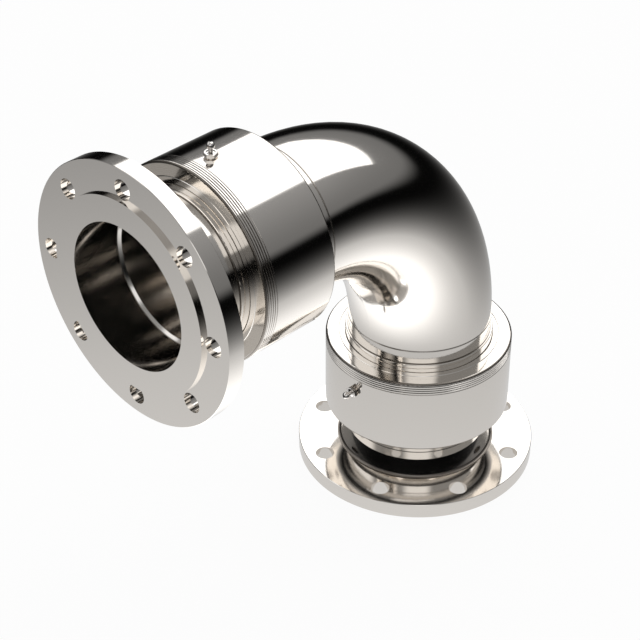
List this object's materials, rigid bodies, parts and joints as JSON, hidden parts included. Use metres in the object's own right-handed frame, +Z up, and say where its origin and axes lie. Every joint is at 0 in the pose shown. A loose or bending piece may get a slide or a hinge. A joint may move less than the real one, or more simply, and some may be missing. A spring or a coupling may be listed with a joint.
{
  "type": "swivel joint",
  "caption": "Flanged pipe swivel joint: a weld-neck flange and grooved cylindrical swivel under a long-radius elbow, with a second swivel and flange on its side outlet.",
  "frame": {"origin": "centre of the base flange's sealing face, on the lower swivel's axis", "axes": "+Z up the lower swivel's axis into the elbow, +X out of the side flange along the upper swivel's axis at rest, +Y completes a right-handed frame"},
  "size_m": [0.5735, 0.285, 0.5735],
  "materials": {
    "polished_steel": "mirror-polished stainless steel",
    "nipple_steel": "bright plated steel",
    "shim_steel": "rolled strip",
    "bearing_bronze": "turned bronze",
    "ptfe": "smooth",
    "seal_rubber": "moulded matt"
  },
  "bodies": {
    "base": {"base_flange": "polished_steel", "base_housing": "polished_steel", "base_inner_bush": "bearing_bronze", "base_outer_bush": "bearing_bronze", "base_gland_ring": "polished_steel", "base_shim_ring": "shim_steel", "base_ring_nut": "polished_steel", "base_main_seal": "ptfe", "base_seal_energiser": "seal_rubber", "base_wiper_seal": "seal_rubber", "base_grease_nipple": "nipple_steel"},
    "elbow_arm": {"base_sleeve": "polished_steel", "elbow": "polished_steel", "branch_housing": "polished_steel", "branch_inner_bush": "bearing_bronze", "branch_outer_bush": "bearing_bronze", "branch_gland_ring": "polished_steel", "branch_shim_ring": "shim_steel", "branch_ring_nut": "polished_steel", "branch_main_seal": "ptfe", "branch_seal_energiser": "seal_rubber", "branch_wiper_seal": "seal_rubber", "branch_grease_nipple": "nipple_steel"},
    "side_port": {"branch_sleeve": "polished_steel", "side_flange": "polished_steel"}
  },
  "joints": [
    {"name": "base_swivel", "type": "hinge", "parent": "base", "child": "elbow_arm", "pos_m": [0, 0, 0.142], "axis": [0, 0, 1], "continuous": true},
    {"name": "branch_swivel", "type": "hinge", "parent": "elbow_arm", "child": "side_port", "pos_m": [0.3155, 0, 0.431], "axis": [1, 0, 0], "continuous": true}
  ]
}
